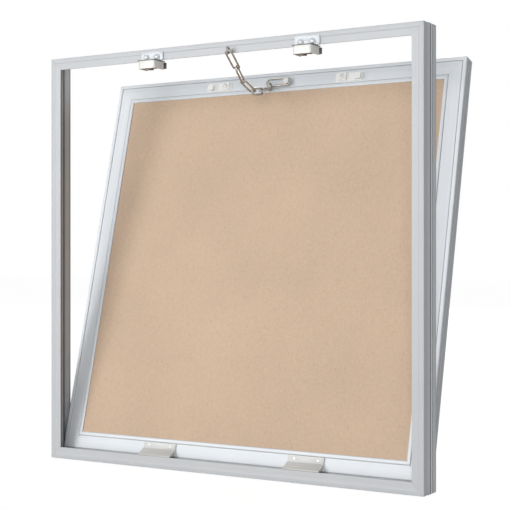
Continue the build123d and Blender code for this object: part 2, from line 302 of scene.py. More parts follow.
def piece(name, shells, body, nodes, material, put=None, sharp=38.0):
    """One object from closed shells, riding on a body and standing for CAD nodes.

    The attribute drawn_m keeps each point as it was drawn, in metres, before the shell is put in place.
    """
    points, faces, drawn, start = [], [], [], 0
    for raw, quads, ends in shells:
        placed = put(raw) if put else raw
        if volume(placed - placed.mean(axis=0), quads, ends) < 0:
            quads = quads[:, ::-1]
            ends = [end[::-1] for end in ends]
        faces += (quads + start).tolist() + [(end + start).tolist() for end in ends]
        points.append((placed - (0, FRAME_DEPTH, 0)) / 1000)
        drawn.append(raw / 1000)
        start += len(raw)
    mesh = bpy.data.meshes.new(name)
    mesh.from_pydata(np.concatenate(points).tolist(), [], faces)
    as_drawn = mesh.attributes.new("drawn_m", "FLOAT_VECTOR", "POINT")
    as_drawn.data.foreach_set("vector", np.concatenate(drawn).ravel())
    mesh.shade_smooth()
    mesh.set_sharp_from_angle(angle=math.radians(sharp))
    mesh.materials.append(material)
    made = bpy.data.objects.new(name, mesh)
    bpy.context.scene.collection.objects.link(made)
    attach(made, body)
    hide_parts(*nodes)
    return made


def finish_node(node, material):
    """Gives a CAD node that keeps its shape a procedural material."""
    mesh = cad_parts[node].data
    mesh.materials.clear()
    mesh.materials.append(material)


def eased_copy(name, node, body, material, width):
    """Merged copy of a CAD node's surface, every sharp edge eased by a bevel of the given width in mm."""
    mesh = bpy.data.meshes.new(name)
    shape = bmesh.new()
    shape.from_mesh(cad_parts[node].data)
    bmesh.ops.remove_doubles(shape, verts=shape.verts, dist=1e-6)
    bmesh.ops.dissolve_limit(shape, angle_limit=math.radians(1.5), verts=shape.verts, edges=shape.edges)
    shape.to_mesh(mesh)
    shape.free()
    mesh.shade_smooth()
    mesh.materials.clear()
    mesh.materials.append(material)
    made = bpy.data.objects.new(name, mesh)
    bpy.context.scene.collection.objects.link(made)
    bevel = made.modifiers.new("eased edges", "BEVEL")
    bevel.width = width / 1000
    bevel.segments = 2
    bevel.limit_method = "ANGLE"
    bevel.angle_limit = math.radians(28)
    bevel.harden_normals = True
    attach(made, body)
    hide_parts(node)
    return made


def add(tree, kind, inputs=None, **settings):
    """One shader node with its settings, values and links."""
    made = tree.nodes.new(kind)
    for key, value in settings.items():
        setattr(made, key, value)
    for key, value in (inputs or {}).items():
        if isinstance(value, bpy.types.NodeSocket):
            tree.links.new(value, made.inputs[key])
        else:
            made.inputs[key].default_value = value
    return made


def surface(name, roughness, metallic=0.0):
    """New material with a Principled surface, its tree and its shader, or without both if it exists."""
    material = bpy.data.materials.get(name)
    if material:
        return material, None, None
    material = bpy.data.materials.new(name)
    material.use_nodes = True
    tree = material.node_tree
    shader = tree.nodes["Principled BSDF"]
    shader.inputs["Roughness"].default_value = roughness
    shader.inputs["Metallic"].default_value = metallic
    return material, tree, shader


def place_of(tree, drawn):
    """Where a pattern is read: the drawn position of the piece, or the object's own space on CAD nodes."""
    if drawn:
        return add(tree, "ShaderNodeAttribute", attribute_name="drawn_m").outputs["Vector"]
    return add(tree, "ShaderNodeTexCoord").outputs["Object"]


def spread(tree, value, low, high, to_low=0.0, to_high=1.0):
    """Stretches a value's range from low..high to to_low..to_high."""
    return add(tree, "ShaderNodeMapRange", {"Value": value, "From Min": low, "From Max": high,
                                            "To Min": to_low, "To Max": to_high}).outputs["Result"]


def blend(tree, factor, first, second, **settings):
    """Mixes two colours or values by a factor."""
    return add(tree, "ShaderNodeMixRGB", {"Fac": factor, "Color1": first, "Color2": second},
               **settings).outputs["Color"]


def shaded(colour, share):
    """The colour at a share of its light, at most white, with an alpha of 1."""
    return [min(level * share, 1) for level in colour[:3]] + [1]


def base_of(shader):
    """Socket that the base colour comes from so far."""
    return shader.inputs["Base Color"].links[0].from_socket


def tinted(tree, shader, colour, factor, low, high):
    """Base colour that goes from low to high times the colour as the factor goes from 0 to 1."""
    base = blend(tree, factor, shaded(colour, low), shaded(colour, high))
    tree.links.new(base, shader.inputs["Base Color"])


def relief(tree, shader, height, strength, metres):
    """Fine relief that follows a height pattern."""
    bump = add(tree, "ShaderNodeBump", {"Height": height, "Strength": strength, "Distance": metres})
    tree.links.new(bump.outputs["Normal"], shader.inputs["Normal"])


def extruded_aluminium(name, colour, drawn=True, painted_light_bands=()):
    """Satin anodised aluminium, extruded: a dull grey sheen with faint die lines along the rail.

    The bands, rows of (y in mm, tone), paint light and shade on the side: from each depth on, it has that
    share of the colour, as painted shade or painted highlight.
    """
    material, tree, shader = surface(name, 0.52, 0.12)
    if not tree:
        return material
    place = place_of(tree, drawn)
    # Die lines 0.8 mm apart and 200 mm long: the real ones are about 0.2 mm apart and wouldn't show.
    lines = add(tree, "ShaderNodeMapping", {"Vector": place, "Scale": (5, 1250, 1250)})
    streak = add(tree, "ShaderNodeTexNoise", {"Vector": lines.outputs["Vector"], "Scale": 1.0, "Detail": 3.0})
    # Cloudy patches about 60 mm across, from handling and etching.
    cloud = add(tree, "ShaderNodeTexNoise", {"Vector": place, "Scale": 16.0, "Detail": 2.0})
    both = blend(tree, 0.45, streak.outputs["Fac"], cloud.outputs["Fac"])
    tinted(tree, shader, colour, spread(tree, both, 0.3, 0.7), 0.94, 1.04)
    # Painted light: bands by depth darken grooves and edges as painted shade and lighten ribs as painted
    # highlight.
    if painted_light_bands:
        depth = add(tree, "ShaderNodeSeparateXYZ", {"Vector": place})
        share = spread(tree, depth.outputs["Y"], 0.0, BAND_REACH / 1000)
        ramp = add(tree, "ShaderNodeValToRGB", {"Fac": share})
        ramp.color_ramp.interpolation = "CONSTANT"
        while len(ramp.color_ramp.elements) < len(painted_light_bands):
            ramp.color_ramp.elements.new(1.0)
        for element, (y, tone) in zip(ramp.color_ramp.elements, painted_light_bands):
            element.position = y / BAND_REACH
            element.color = (tone, tone, tone, 1)
        lit_and_shaded = blend(tree, 1.0, base_of(shader), ramp.outputs["Color"], blend_type="MULTIPLY")
        tree.links.new(lit_and_shaded, shader.inputs["Base Color"])
    rough = spread(tree, streak.outputs["Fac"], 0.0, 1.0, 0.45, 0.58)
    tree.links.new(rough, shader.inputs["Roughness"])
    relief(tree, shader, streak.outputs["Fac"], 0.12, 0.0001)
    return material


def liner_paper(name, colour, fibre):
    """Plasterboard liner, pressed from recycled pulp: matt, mottled, with short darker fibres."""
    material, tree, shader = surface(name, 0.92)
    if not tree:
        return material
    place = place_of(tree, False)
    # Pulp mottle 2.4 mm across, fibres 1 mm wide and 4.5 mm long, and cloudy tone 80 mm across. Real pulp and
    # fibres are about a third of that and wouldn't show.
    mottle = add(tree, "ShaderNodeTexNoise",
                 {"Vector": place, "Scale": 420.0, "Detail": 4.0, "Roughness": 0.6})
    laid = add(tree, "ShaderNodeMapping",
               {"Vector": place, "Scale": (1000, 300, 220), "Rotation": (0, 0.6, 0)})
    strands = add(tree, "ShaderNodeTexNoise", {"Vector": laid.outputs["Vector"], "Scale": 1.0, "Detail": 2.0})
    cloud = add(tree, "ShaderNodeTexNoise", {"Vector": place, "Scale": 12.0, "Detail": 3.0})
    tone = blend(tree, 0.4, mottle.outputs["Fac"], cloud.outputs["Fac"])
    tinted(tree, shader, colour, spread(tree, tone, 0.32, 0.68), 0.9, 1.08)
    dark = spread(tree, strands.outputs["Fac"], 0.62, 0.74, 0.0, fibre)
    fleck = blend(tree, dark, base_of(shader), shaded(colour, 0.55))
    tree.links.new(fleck, shader.inputs["Base Color"])
    relief(tree, shader, mottle.outputs["Fac"], 0.25, 0.0003)
    return material


def grained(name, colour, roughness, grain_mm, low, high, metallic=0.0, drawn=True, bumped=0.15):
    """Shared grain: a noise of the given size that varies tone between low and high, roughness and relief."""
    material, tree, shader = surface(name, roughness, metallic)
    if not tree:
        return material
    place = place_of(tree, drawn)
    grain = add(tree, "ShaderNodeTexNoise", {"Vector": place, "Scale": 1000.0 / grain_mm, "Detail": 3.0})
    cloud = add(tree, "ShaderNodeTexNoise", {"Vector": place, "Scale": 90.0, "Detail": 2.0})
    both = blend(tree, 0.5, grain.outputs["Fac"], cloud.outputs["Fac"])
    tinted(tree, shader, colour, spread(tree, both, 0.33, 0.67), low, high)
    rough = spread(tree, grain.outputs["Fac"], 0.0, 1.0, roughness * 0.85, min(roughness * 1.15, 1.0))
    tree.links.new(rough, shader.inputs["Roughness"])
    relief(tree, shader, grain.outputs["Fac"], bumped, 0.0001)
    return material


def zinc_plated_wire(colour):
    """Zinc-plated drawn steel wire: warm grey, glossy, with dull blotches of plating a millimetre across."""
    return grained("zinc_plated_wire", colour, 0.32, 1.2, 0.72, 1.12, metallic=0.9)


def zinc_plated_sheet(name, colour, drawn, shade_below_z=0.0):
    """Zinc-plated pressed sheet: pale, with a fine passivated haze.

    Given a height in mm, all of a flat plate that lies below it is painted steel grey: painted shade for the
    dark shadow line just above the housing.
    """
    material = grained(name, colour, 0.42, 1.5, 0.93, 1.04, metallic=0.15, drawn=drawn)
    tree = material.node_tree
    if shade_below_z and "painted edge shade" not in tree.nodes:
        shader = tree.nodes["Principled BSDF"]
        height = add(tree, "ShaderNodeSeparateXYZ", {"Vector": place_of(tree, drawn)})
        # Painted shade: everything below the height is darkened to steel grey, for the shadow line there.
        in_shade = add(tree, "ShaderNodeMath", {0: height.outputs["Z"], 1: shade_below_z / 1000}, operation="LESS_THAN")
        steel = blend(tree, in_shade.outputs[0], base_of(shader), linear("#5e6163") + (1,), name="painted edge shade")
        tree.links.new(steel, shader.inputs["Base Color"])
    return material


def bright_zinc_screw():
    """Bright zinc on turned steel: nearly white and glossy, for screws, pins and springs."""
    return grained("bright_zinc_screw", linear("#cfcfcd"), 0.28, 0.8, 0.88, 1.08, metallic=0.85)


def dark_stamped_steel(colour):
    """Blackened stamped steel: dark grey with a dull edge sheen."""
    return grained("dark_stamped_steel", colour, 0.45, 1.0, 0.8, 1.25, metallic=0.7, drawn=False)


def moulded_polyamide(name, colour, drawn=True):
    """Moulded polyamide: even colour, soft gloss, fine tooled grain."""
    return grained(name, colour, 0.46, 0.6, 0.96, 1.03, drawn=drawn, bumped=0.1)


def foam_rubber(colour):
    """Foamed rubber gasket: dark, matt and open-pored."""
    return grained("foam_rubber", colour, 0.85, 0.8, 0.75, 1.2, bumped=0.5)


def aluminium_rivet(colour, name="drawn_aluminium_rivet", drawn=True):
    """Drawn aluminium rivet: pale and softly polished by the setting tool."""
    return grained(name, colour, 0.36, 0.7, 0.9, 1.06, metallic=0.25, drawn=drawn)


def gypsum_plaster(colour):
    """Set gypsum: chalk white, matt, crumbly at cut edges."""
    return grained("set_gypsum", colour, 0.95, 1.4, 0.92, 1.03, drawn=False, bumped=0.5)


class PanelSizes(bpy.types.PropertyGroup):
    """Sizes that can be changed without moving any piece."""

    link_wire: bpy.props.FloatProperty(
        name="Link wire", description="Diameter of the long links' wire",
        default=0.002, unit="LENGTH", precision=4)
    ring_wire: bpy.props.FloatProperty(
        name="Ring wire", description="Diameter of the joining ring's wire",
        default=0.0016, unit="LENGTH", precision=4)
    end_link_wire: bpy.props.FloatProperty(
        name="End link wire", description="Diameter of the oblong end link's wire",
        default=0.0022, unit="LENGTH", precision=4)
    spring_wire: bpy.props.FloatProperty(
        name="Spring wire", description="Diameter of the latch springs' wire",
        default=0.0004, unit="LENGTH", precision=4)
    weld_bead: bpy.props.FloatProperty(
        name="Weld bead", description="How far a link's weld stands out, as a share of the wire's radius",
        default=0.08, min=0.0, max=0.12, subtype="FACTOR")
    edge_easing: bpy.props.FloatProperty(
        name="Edge easing", description="Bevel on stamped and moulded edges",
        default=0.0002, unit="LENGTH", precision=5)


class PanelColours(bpy.types.PropertyGroup):
    """Colours of the finishes."""

    frame_aluminium: bpy.props.FloatVectorProperty(
        name="Frame aluminium", description="Extruded rails of the frame",
        subtype="COLOR", default=linear("#bfc1c3"))
    leaf_aluminium: bpy.props.FloatVectorProperty(
        name="Leaf aluminium", description="Extruded rails of the leaf",
        subtype="COLOR", default=linear("#e3e7ea"))
    hinge_aluminium: bpy.props.FloatVectorProperty(
        name="Hinge aluminium", description="Hooks and rests of the hinges",
        subtype="COLOR", default=linear("#d9d9d6"))
    back_paper: bpy.props.FloatVectorProperty(
        name="Back liner", description="Brown liner on the board's cavity side",
        subtype="COLOR", default=linear("#d6bba1"))
    face_paper: bpy.props.FloatVectorProperty(
        name="Face liner", description="Pale liner on the board's room side",
        subtype="COLOR", default=linear("#e3ded2"))
    gypsum: bpy.props.FloatVectorProperty(
        name="Gypsum", description="The board's core",
        subtype="COLOR", default=linear("#e8e4da"))
    gasket: bpy.props.FloatVectorProperty(
        name="Gasket", description="Foam rubber gasket",
        subtype="COLOR", default=linear("#4a4547"))
    latch_sheet: bpy.props.FloatVectorProperty(
        name="Latch sheet", description="Plated sheet of the housings",
        subtype="COLOR", default=linear("#dbdad5"))
    flange_sheet: bpy.props.FloatVectorProperty(
        name="Flange sheet", description="Plated ears and packing plates",
        subtype="COLOR", default=linear("#ccd1d5"))
    jaw_steel: bpy.props.FloatVectorProperty(
        name="Jaw steel", description="Blackened jaws",
        subtype="COLOR", default=linear("#6e6766"))
    carriage: bpy.props.FloatVectorProperty(
        name="Carriage", description="Brown sliding block",
        subtype="COLOR", default=linear("#7a5f4c"))
    keeper: bpy.props.FloatVectorProperty(
        name="Keeper", description="White moulded keepers",
        subtype="COLOR", default=linear("#fbfbf9"))
    wire_zinc: bpy.props.FloatVectorProperty(
        name="Chain", description="Zinc-plated wire of the chain",
        subtype="COLOR", default=linear("#b4b0ab"))
    rivet: bpy.props.FloatVectorProperty(
        name="Rivets", description="Aluminium rivets",
        subtype="COLOR", default=linear("#d6d7d8"))


# Rail profiles in rows of (y, distance in from the outside, easing).
FRAME_PROFILE = [
    (0, 0.4, 0.3), (0, 4.4, 0.3), (0.5, 5.6, 0.3), (0.5, 11.6, 0.35), (2.0, 11.6, 0.35), (2.0, 2.0, 0.3),
    (9.3, 2.0, 0.3), (9.3, SEAL_INNER, 0.25), (SEAL_BACK, SEAL_INNER, 0.25), (SEAL_BACK, 2.0, 0.3),
    (28.5, 2.0, 0.2), (28.5, 1.2, 0.2), (27.0, 0, 0.3), (19.5, 0, 0.2), (19.5, 0.9, 0.25), (17.6, 0.9, 0.25),
    (17.6, 0, 0.2), (14.9, 0, 0.2), (14.9, 0.9, 0.25), (13.1, 0.9, 0.25), (13.1, 0, 0.2), (10.4, 0, 0.3),
    (8.6, 0.4, 0.3),
]
LEAF_PROFILE = [
    (14.15, 0, 0.5), (13.65, 0.5, 0.5), (13.65, 3.3, 0.25), (14.7, 3.5, 0.1), (14.7, 4.0, 0.1),
    (LEAF_BAND, 4.2, 0.15), (LEAF_BAND, 16.3, 0.15), (14.7, 16.5, 0.1), (14.7, 16.9, 0.1), (13.65, 17.1, 0.3),
    (13.65, 19.6, 0.4), (14.15, 20.5, 0.5), (15.15, 20.5, 0.2), (15.15, 1.6, 0.2), (28.15, 1.6, 0.15),
    (28.15, 0, 0.25), (22.15, 0, 0.15), (22.15, 0.5, 0.2), (21.15, 0.5, 0.2), (21.15, 0, 0.15),
    (18.15, 0, 0.15), (18.15, 0.5, 0.2), (17.15, 0.5, 0.2), (17.15, 0, 0.15),
]

# Painted light on the rails' sides: from each depth y on, the faces take that share of their colour. On the
# frame this gives painted shade in the two grooves and on the room-side edge, a painted highlight on the rib
# between them, and facets lighter or darker for how the light falls. On the leaf it gives painted shade over
# its side and grooves.
BAND_REACH = 32.0
FRAME_PAINTED_LIGHT_BANDS = (
    (0, 1.0), (0.7, 0.8), (8.6, 0.95), (13.1, 0.4), (14.9, 1.3), (17.6, 0.4), (19.5, 0.9), (26.0, 0.6),
)
LEAF_PAINTED_SHADE_BANDS = ((0, 1.0), (14.4, 0.62), (17.15, 0.5), (18.15, 0.58), (22.15, 0.5))


class PANEL_OT_frame_rails(bpy.types.Operator):
    """Four mitred rails of the frame, and the corner cleats of frame and leaf"""

    bl_idname = "access_panel.frame_rails"
    bl_label = "Frame rails"

    def execute(self, context):
        # The frame's sides get painted shade and a painted highlight by depth.
        metal = extruded_aluminium("anodised_aluminium_frame", context.scene.panel_colours.frame_aluminium,
                                   painted_light_bands=FRAME_PAINTED_LIGHT_BANDS)
        outline = rounded(FRAME_PROFILE)
        for side, angle in SIDES.items():
            piece(f"frame_rail_{side}_extrusion", [mitred_rail(outline, FRAME_HALF)], "frame",
                  [f"frame_rail_{side}"], metal, lambda p, a=angle: turned(p, a), 30)
        plain = extruded_aluminium("rolled_aluminium_cleat", linear("#b8babc"), drawn=False)
        for node in ("frame_corner_cleats", "leaf_corner_cleats"):
            finish_node(node, plain)
        return {"FINISHED"}


class PANEL_OT_gasket(bpy.types.Operator):
    """Foam gasket that sits on the frame's inner rib"""

    bl_idname = "access_panel.gasket"
    bl_label = "Gasket"

    def execute(self, context):
        outline = rounded([(SEAL_BACK, 3.0, 0.1), (SEAL_BACK, SEAL_INNER, 0.1), (12.7, SEAL_INNER, 0.8),
                           (13.4, 4.9, 0.8), (12.7, 3.0, 0.8)])
        y, d = outline.T
        rings = [np.stack([a * (FRAME_HALF - d), y, b * (FRAME_HALF - d)], axis=1)
                 for a, b in ((1, 1), (1, -1), (-1, -1), (-1, 1))]
        foam = piece("frame_gasket", [skin(rings, looped=True)], "frame", ["frame_seal"],
                     foam_rubber(context.scene.panel_colours.gasket))
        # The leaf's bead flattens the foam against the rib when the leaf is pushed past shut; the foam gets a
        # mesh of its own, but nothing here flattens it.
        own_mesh(foam)
        return {"FINISHED"}


class PANEL_OT_leaf_rails(bpy.types.Operator):
    """Four mitred rails of the leaf"""

    bl_idname = "access_panel.leaf_rails"
    bl_label = "Leaf rails"

    def execute(self, context):
        # The leaf's sides get painted shade by depth.
        metal = extruded_aluminium("anodised_aluminium_leaf", context.scene.panel_colours.leaf_aluminium,
                                   painted_light_bands=LEAF_PAINTED_SHADE_BANDS)
        outline = rounded(LEAF_PROFILE)
        for side, angle in SIDES.items():
            piece(f"leaf_rail_{side}_extrusion", [mitred_rail(outline, LEAF_HALF)], "leaf",
                  [f"leaf_rail_{side}"], metal, lambda p, a=angle: tilted(turned(p, a)), 30)
        return {"FINISHED"}


class PANEL_OT_board(bpy.types.Operator):
    """Finish of the plasterboard: brown liner, core and pale liner"""

    bl_idname = "access_panel.board"
    bl_label = "Board"

    def execute(self, context):
        colours = context.scene.panel_colours
        finish_node("board_back_paper", liner_paper("recycled_back_liner", colours.back_paper, 0.35))
        finish_node("board_face_paper", liner_paper("pale_face_liner", colours.face_paper, 0.12))
        finish_node("gypsum_core", gypsum_plaster(colours.gypsum))
        return {"FINISHED"}


class PANEL_OT_hinges(bpy.types.Operator):
    """Hook extrusions on the leaf, rests on the frame and their flush rivets"""

    bl_idname = "access_panel.hinges"
    bl_label = "Hinges"

    def execute(self, context):
        colours = context.scene.panel_colours
        metal = extruded_aluminium("anodised_aluminium_hinge", colours.hinge_aluminium, drawn=False)
        for side in ("left", "right"):
            for part, body, easing in (("hook", "leaf", 0.15), ("rest", "frame", 0.1)):
                eased_copy(f"hinge_{part}_{side}_extrusion", f"hinge_{part}_{side}", body, metal,
                           easing)
        head = [(1.3, 15.15), (1.5, 15.0), (1.5, 12.55), (1.35, 12.45), (0.95, 12.45), (0.8, 12.75),
                (0.4, 12.75)]
        shells = [turned_part(head, (x, HINGE_RIVET_Z)) for x in HINGE_RIVET_X]
        piece("hinge_hook_rivet_set", shells, "leaf", ["hinge_hook_rivets"], aluminium_rivet(colours.rivet),
              tilted)
        finish_node("hinge_rest_rivets", aluminium_rivet(colours.rivet, "plain_rivet_face", False))
        return {"FINISHED"}


def direction(start, end):
    """Unit vector from start to end."""
    return (end - start) / np.linalg.norm(end - start)


def chain_place(start, end, flat):
    """Puts an oval drawn in the xy plane between two turning points.

    Its long way follows the line between them. A flat link lies across the chain's upright plane, and the
    others lie in it.
    """
    along = direction(start, end)
    across = np.array([along[1], -along[0], 0.0])
    across /= np.linalg.norm(across)
    upright = np.cross(along, across)
    side = across if flat else upright
    normal = np.cross(along, side)
    centre = (start + end) / 2
    return lambda p: centre + p[:, :1] * along + p[:, 1:2] * side + p[:, 2:] * normal


class PANEL_OT_chain(bpy.types.Operator):
    """Five long links, the joining ring, the oblong end link and the screw eye"""

    bl_idname = "access_panel.chain"
    bl_label = "Chain"

    def execute(self, context):
        sizes = context.scene.panel_sizes
        zinc = zinc_plated_wire(context.scene.panel_colours.wire_zinc)
        line = oval(*LINK_OVAL, 18)
        # The weld closes each link in the middle of one long side: a bead that falls off as a bell curve.
        bead = sizes.weld_bead * np.exp(-(line[:, 0] / WELD_SPREAD) ** 2) * (line[:, 1] > 0)
        path = np.column_stack([line, np.zeros(len(line))])
        thickness = sizes.link_wire * 500 * (1 + bead)
        for number in range(1, 6):
            start, end = CHAIN[number - 1], CHAIN[number]
            if number == 1:
                start = start + direction(start, end) * LINK_SEAT
            piece(f"chain_link_{number}_wire", [wire(path, thickness, UP)], f"link_{number}",
                  [f"chain_link_{number}"], zinc, chain_place(start, end, number % 2 == 1))
        along = direction(CHAIN[5], CHAIN[6])
        middle = CHAIN[5] + along * RING_MIDDLE
        hoop = np.column_stack([circle_outline(0, 0, RING_RADIUS, 56), np.zeros(56)])
        piece("chain_joining_ring_wire", [wire(hoop, sizes.ring_wire * 500, UP)], "joining_ring",
              ["chain_joining_ring"], zinc, chain_place(middle - along, middle + along, False))
        x, y, z = END_OVAL_CENTRE
        line = oval(*END_OVAL, 22)
        path = np.stack([x + line[:, 0], np.full(len(line), y), z + line[:, 1]], axis=1)
        piece("chain_end_link_wire", [wire(path, sizes.end_link_wire * 500, ALONG_Y)], "leaf",
              ["chain_end_link"], zinc, tilted)
        piece("chain_eye_screw", self.eye_shells(), "frame", ["chain_eye"], zinc)
        return {"FINISHED"}

    @staticmethod
    def eye_shells():
        """Eye: a circle of wire in the yz plane, and a shank with one turn of thread each 0.7 mm.

        The shank's radius is r + t sin(angle + turn), where t is the thread's depth.
        """
        x, y, z = CHAIN[0]
        ring = circle_outline(y, z, EYE_RADIUS, 56)
        hoop = np.column_stack([np.full(56, x), ring])
        height = np.linspace(-2.6, 3.6, 60)[:, None]
        around = np.linspace(0, 2 * math.pi, 24, endpoint=False)[None, :]
        wave = np.sin(around + 2 * math.pi * height / THREAD_PITCH) * (height > 0.2)
        radius = SHANK_RADIUS + THREAD_DEPTH * wave
        shank = np.stack([x + radius * np.cos(around), height + 0 * around, z + radius * np.sin(around)],
                         axis=-1)
        return [wire(hoop, EYE_WIRE / 2, ALONG_X), skin(shank)]


def hexagon(first_row):
    """Scale that makes rows from first_row on six-sided: cos 30 / cos(angle to the nearest flat's middle)."""
    def lobe(q, row):
        flat = math.cos(math.pi / 6) / np.cos(np.mod(q, math.pi / 3) - math.pi / 6)
        return np.where(row >= first_row, flat, 1.0)
    return lobe


def cross_slot(first_row):
    """Scale that makes rows from first_row on a cross: wide along two lines, narrow between them."""
    def lobe(q, row):
        return np.where(row >= first_row, 0.3 + 0.7 * np.abs(np.cos(2 * q)) ** 6, 1.0)
    return lobe


class PANEL_OT_screws(bpy.types.Operator):
    """Shouldered screw of the end link and the keepers' pan-head screws"""

    bl_idname = "access_panel.screws"
    bl_label = "Screws"

    def execute(self, context):
        bright = bright_zinc_screw()
        shoulder = [(1.4, 15.15), (1.5, 15.05), (1.5, 14.05), (2.3, 14.05), (2.3, 8.35), (3.3, 8.35),
                    (3.4, 8.2), (3.4, 7.35), (3.25, 7.05), (2.9, 6.87), (2.6, 6.85), (1.55, 6.85),
                    (1.45, 6.95), (1.45, 7.8), (0.9, 7.85)]
        piece("chain_end_screw_turned", [turned_part(shoulder, END_SCREW, 48, hexagon(11))], "leaf",
              ["chain_end_screw"], bright, tilted)
        pan = [(1.1, 15.15), (1.2, 15.0), (1.2, 9.85), (2.3, 9.85), (2.4, 9.7), (2.4, 9.2), (2.2, 8.8),
               (1.8, 8.6), (1.5, 8.55), (1.4, 8.6), (1.25, 9.1), (0.5, 9.3)]
        shells = [turned_part(pan, (x + KEEPER_SCREW[side], KEEPER_Z), 48, cross_slot(9))
                  for side, x in LATCH_X.items()]
        piece("keeper_screw_set", shells, "leaf", ["keeper_screws"], bright, tilted)
        return {"FINISHED"}


class PANEL_OT_keepers(bpy.types.Operator):
    """White moulded keepers on the leaf's top rail"""

    bl_idname = "access_panel.keepers"
    bl_label = "Keepers"

    def execute(self, context):
        white = moulded_polyamide("moulded_white_polyamide", context.scene.panel_colours.keeper)
        for side, x in LATCH_X.items():
            low, high = KEEPER_ENDS[side]
            screw = x + KEEPER_SCREW[side]
            shells = [
                # Base, neck and head of the T-shaped stud, and the screw's block.
                prism(box_outline(x + low, x + high, 181.0, 189.8, 1.5), 12.85, LEAF_BAND, 0.25, "y"),
                prism(box_outline(x - 1.4, x + 1.4, 181.4, 186.6, 0.3), 8.6, 13.0, 0.1, "y"),
                prism(box_outline(x - 3.2, x + 3.2, 181.4, 186.6, 0.5), 7.8, 9.3, 0.3, "y"),
                prism(box_outline(screw - 4.2, screw + 4.2, 181.6, 189.2, 1.0), 9.85, 13.0, 0.3, "y"),
            ]
            piece(f"keeper_{side}_moulding", shells, "leaf", [f"keeper_{side}"], white,
                  tilted)
        return {"FINISHED"}


# Blind rivet in rows of (radius, y): tail behind the flange, shank and dimpled dome.
RIVET_PROFILE = [
    (2.1, 2.7), (2.3, 2.5), (2.3, 2.0), (1.5, 2.0), (1.5, -1.5), (2.45, -1.5), (2.5, -1.6), (2.35, -1.9),
    (1.95, -2.25), (1.3, -2.48), (0.75, -2.57), (0.65, -2.3), (0.3, -2.3),
]


def folded_housing(x):
    """Sheet strip carried round a U: straight side, quarter circle, front, quarter circle, straight side."""
    # The front stands as far from the middle as both sides do.
    quarter = np.linspace(0, math.pi / 2, 8)
    bend = HOUSING_BEND - HOUSING_HALF - HOUSING_BEND * np.stack([np.cos(quarter), np.sin(quarter)], axis=1)
    mirror = (-1, 1)
    side = np.array([(-HOUSING_HALF, HOUSING_OPEN_Y), (-HOUSING_HALF, HOUSING_OPEN_Y - 0.2)])
    path = np.concatenate([side, bend, bend[::-1] * mirror, side[::-1] * mirror])
    ahead = np.gradient(path, axis=0)
    ahead /= np.linalg.norm(ahead, axis=1, keepdims=True)
    normal = np.stack([-ahead[:, 1], ahead[:, 0]], axis=1)
    section = box_outline(-SHEET_HALF, SHEET_HALF, *HOUSING_Z, 0.25)
    across = path[:, None, :] + normal[:, None, :] * section[None, :, :1]
    height = np.broadcast_to(section[None, :, 1:], across.shape[:2] + (1,))
    return skin(np.concatenate([across + (x, 0), height], axis=2))


def pressure_spring(x, radius):
    """Coil along y: point (r cos q, y(q), r sin q), y running evenly but closing up over the end turns."""
    turns = 6.5
    t = np.linspace(0, 1, 220)
    share = t - 0.06 * np.sin(2 * math.pi * t) - 0.02 * np.sin(4 * math.pi * t)
    q = 2 * math.pi * turns * t
    path = np.stack([x + SPRING_RADIUS * np.cos(q), SPRING_START_Y + SPRING_RISE * share,
                     SPRING_Z + SPRING_RADIUS * np.sin(q)], axis=1)
    return wire(path, radius, ALONG_Y, looped=False, sides=10)


class PANEL_OT_latches(bpy.types.Operator):
    """Two jaw latches under the frame's top flange"""

    bl_idname = "access_panel.latches"
    bl_label = "Latches"

    def execute(self, context):
        colours = context.scene.panel_colours
        sizes = context.scene.panel_sizes
        easing = sizes.edge_easing * 1000
        sheet = zinc_plated_sheet("zinc_plated_housing", colours.latch_sheet, True)
        # The ears' sheet below the frame flange's edge is painted dark grey: painted shade along the top of
        # the housing.
        ears = zinc_plated_sheet("zinc_plated_ears", colours.flange_sheet, False, FLANGE_EDGE)
        pad = zinc_plated_sheet("zinc_plated_pad", colours.flange_sheet, False)
        dark = dark_stamped_steel(colours.jaw_steel)
        brown = moulded_polyamide("moulded_brown_polyamide", colours.carriage, False)
        rivet = aluminium_rivet(colours.rivet)
        bright = bright_zinc_screw()
        for side, x in LATCH_X.items():
            copies = [
                (f"latch_pad_{side}", "plate", "frame", pad, "latch_plated_steel"),
                (f"latch_bracket_{side}", "sheet", "frame", ears, "latch_plated_steel"),
                (f"latch_carriage_{side}", "block", f"carriage_{side}", brown, "carriage_plastic"),
                (f"latch_{side}_jaw_a", "claw", f"jaw_{side}_a", dark, "jaw_steel"),
                (f"latch_{side}_jaw_b", "claw", f"jaw_{side}_b", dark, "jaw_steel"),
            ]
            for node, form, body, material, slot in copies:
                eased_copy(f"{node}_{form}", node, body, material, easing)
            piece(f"latch_housing_{side}_sheet", [folded_housing(x)], "frame", [f"latch_housing_{side}"],
                  sheet)
            domes = [turned_part(RIVET_PROFILE, (x + offset, LATCH_RIVET_Z), 40)
                     for offset in (-LATCH_RIVET_OFFSET, LATCH_RIVET_OFFSET)]
            piece(f"latch_rivets_{side}_domed", domes, "frame", [f"latch_rivets_{side}"], rivet)
            pins = [prism(circle_outline(x + offset, JAW_PIN_Y, JAW_PIN_RADIUS), *JAW_PIN_Z, 0.2, "z")
                    for offset in (-JAW_PIN_X, JAW_PIN_X)]
            piece(f"latch_jaw_pins_{side}_turned", pins, "frame", [f"latch_jaw_pins_{side}"], bright)
            coil = piece(f"latch_spring_{side}_coil", [pressure_spring(x, sizes.spring_wire * 500)], "frame",
                         [f"latch_spring_{side}"], bright)
            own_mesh(coil)
        return {"FINISHED"}


